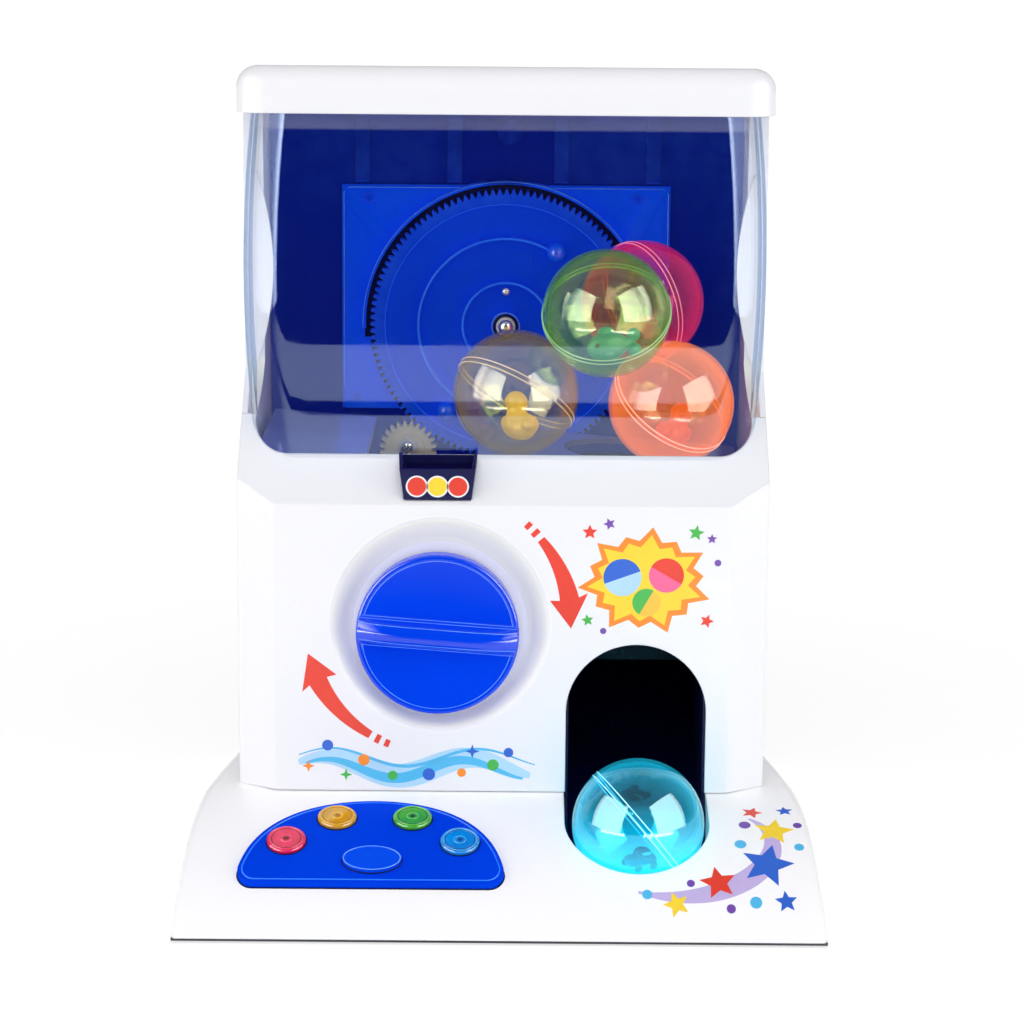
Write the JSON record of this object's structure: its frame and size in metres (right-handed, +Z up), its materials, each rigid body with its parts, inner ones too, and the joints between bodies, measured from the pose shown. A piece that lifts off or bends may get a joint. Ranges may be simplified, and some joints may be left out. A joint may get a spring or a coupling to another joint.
{
  "type": "toy capsule vending machine",
  "caption": "Table-top toy capsule machine: clear hopper with geared agitator wheel over a white body with grip-bar knob, coin funnel, arched outlet and a flared base with press buttons.",
  "frame": {"origin": "centre of the bounding box on the floor", "axes": "X to the right seen from the front, Y to the back, Z up; the front faces -Y"},
  "size_m": [0.2586, 0.27, 0.3358],
  "materials": {
    "white": "gloss",
    "blue": "gloss",
    "navy": "gloss",
    "clear": "clear",
    "ivory": "satin",
    "steel": "bright",
    "black": "matte",
    "rubber": "matte",
    "board": "matte",
    "lamp": "clear",
    "red_clear": "clear tint",
    "yellow_clear": "clear tint",
    "green_clear": "clear tint",
    "blue_clear": "clear tint",
    "oval_blue": "gloss",
    "yellow_capsule": "clear tint",
    "yellow_capsule_base": "clear tint",
    "orange_capsule": "clear tint",
    "orange_capsule_base": "clear tint",
    "green_capsule": "clear tint",
    "green_capsule_base": "clear tint",
    "magenta_capsule": "clear tint",
    "magenta_capsule_base": "clear tint",
    "blue_capsule": "clear tint",
    "blue_capsule_base": "clear tint",
    "toy": "gloss"
  },
  "bodies": {
    "cabinet": {"aa_cells": "steel", "back_plate_screws": "blue", "base_floor_plate": "black", "base_tray": "white", "battery_box": "black", "battery_contacts": "steel", "battery_door": "black", "bracket_screws": "steel", "button_circuit_board": "board", "button_lamps": "lamp", "button_panel": "blue", "capsule_chute": "navy", "coin_chute": "navy", "coin_funnel": "navy", "floor_screws": "steel", "front_housing": "white", "green_capsule_bottom": "green_capsule_base", "green_capsule_top": "green_capsule", "hopper_back_plate": "blue", "hopper_floor": "blue", "hopper_window": "clear", "housing_screws": "steel", "knob_bush": "ivory", "magenta_capsule_bottom": "magenta_capsule_base", "magenta_capsule_top": "magenta_capsule", "main_board": "board", "orange_capsule_bottom": "orange_capsule_base", "orange_capsule_top": "orange_capsule", "pinion_bracket": "steel", "power_switch_body": "black", "prize_toys": "toy", "rear_housing": "white", "rubber_feet": "rubber", "rubber_keypad": "rubber", "speaker": "black", "wheel_axle_screw": "steel", "wheel_washer": "steel", "yellow_capsule_bottom": "yellow_capsule_base", "yellow_capsule_top": "yellow_capsule"},
    "lid": {"lid": "white"},
    "knob": {"knob": "blue", "knob_shaft": "steel", "knob_gear": "ivory"},
    "idler": {"idler_gear": "ivory"},
    "pinion": {"pinion_gear": "ivory", "pinion_shaft": "steel", "pinion_drive_gear": "ivory"},
    "wheel": {"agitator_wheel": "blue"},
    "gate": {"dispenser_gate": "blue"},
    "red_key": {"red_button": "red_clear"},
    "yellow_key": {"yellow_button": "yellow_clear"},
    "green_key": {"green_button": "green_clear"},
    "blue_key": {"blue_button": "blue_clear"},
    "oval_key": {"oval_button": "oval_blue"},
    "switch": {"power_switch": "black"},
    "plug": {"coin_plug": "black"},
    "capsule": {"blue_capsule_top": "blue_capsule", "blue_capsule_bottom": "blue_capsule_base", "blue_toy": "toy"}
  },
  "joints": [
    {"name": "lid_hinge", "type": "hinge", "parent": "cabinet", "child": "lid", "pos_m": [0, 0.132, 0.316], "axis": [-1, 0, 0], "range_deg": [0, 100]},
    {"name": "knob_turn", "type": "hinge", "parent": "cabinet", "child": "knob", "pos_m": [-0.0266, 0, 0.105], "axis": [0, 1, 0], "continuous": true},
    {"name": "idler_turn", "type": "hinge", "parent": "cabinet", "child": "idler", "pos_m": [-0.04867, 0, 0.13344], "axis": [0, 1, 0], "continuous": true},
    {"name": "pinion_turn", "type": "hinge", "parent": "cabinet", "child": "pinion", "pos_m": [-0.04369, 0, 0.15692], "axis": [0, 1, 0], "continuous": true},
    {"name": "wheel_turn", "type": "hinge", "parent": "cabinet", "child": "wheel", "pos_m": [0.0002, 0, 0.214], "axis": [0, 1, 0], "continuous": true},
    {"name": "gate_swing", "type": "hinge", "parent": "cabinet", "child": "gate", "pos_m": [0.0886, 0.044, 0.1526], "axis": [0, -1, 0], "range_deg": [0, 75], "stiffness_Nm_per_rad": 0.05, "springref_deg": -17.19},
    {"name": "red_press", "type": "slide", "parent": "cabinet", "child": "red_key", "axis": [0, 0.3778, -0.9259], "range_m": [0, 0.0018], "stiffness_N_per_m": 300, "springref_m": -0.0005},
    {"name": "yellow_press", "type": "slide", "parent": "cabinet", "child": "yellow_key", "axis": [0, 0.2756, -0.9613], "range_m": [0, 0.0018], "stiffness_N_per_m": 300, "springref_m": -0.0005},
    {"name": "green_press", "type": "slide", "parent": "cabinet", "child": "green_key", "axis": [0, 0.2756, -0.9613], "range_m": [0, 0.0018], "stiffness_N_per_m": 300, "springref_m": -0.0005},
    {"name": "blue_press", "type": "slide", "parent": "cabinet", "child": "blue_key", "axis": [0, 0.3778, -0.9259], "range_m": [0, 0.0018], "stiffness_N_per_m": 300, "springref_m": -0.0005},
    {"name": "oval_press", "type": "slide", "parent": "cabinet", "child": "oval_key", "axis": [0, 0.4478, -0.8942], "range_m": [0, 0.0018], "stiffness_N_per_m": 300, "springref_m": -0.0005},
    {"name": "switch_slide", "type": "slide", "parent": "cabinet", "child": "switch", "axis": [1, 0, 0], "range_m": [0, 0.004]},
    {"name": "plug_twist", "type": "hinge", "parent": "cabinet", "child": "plug", "pos_m": [-0.082, -0.019, 0.003], "axis": [0, 0, 1], "range_deg": [0, 90]},
    {"name": "capsule_lift", "type": "slide", "parent": "cabinet", "child": "capsule", "axis": [0, 0, 1], "range_m": [0, 0.08]}
  ],
  "couplings": [
    {"joint": "idler_turn", "follows": "knob_turn", "ratio": -2},
    {"joint": "pinion_turn", "follows": "knob_turn", "ratio": 2},
    {"joint": "wheel_turn", "follows": "knob_turn", "ratio": -0.4}
  ]
}
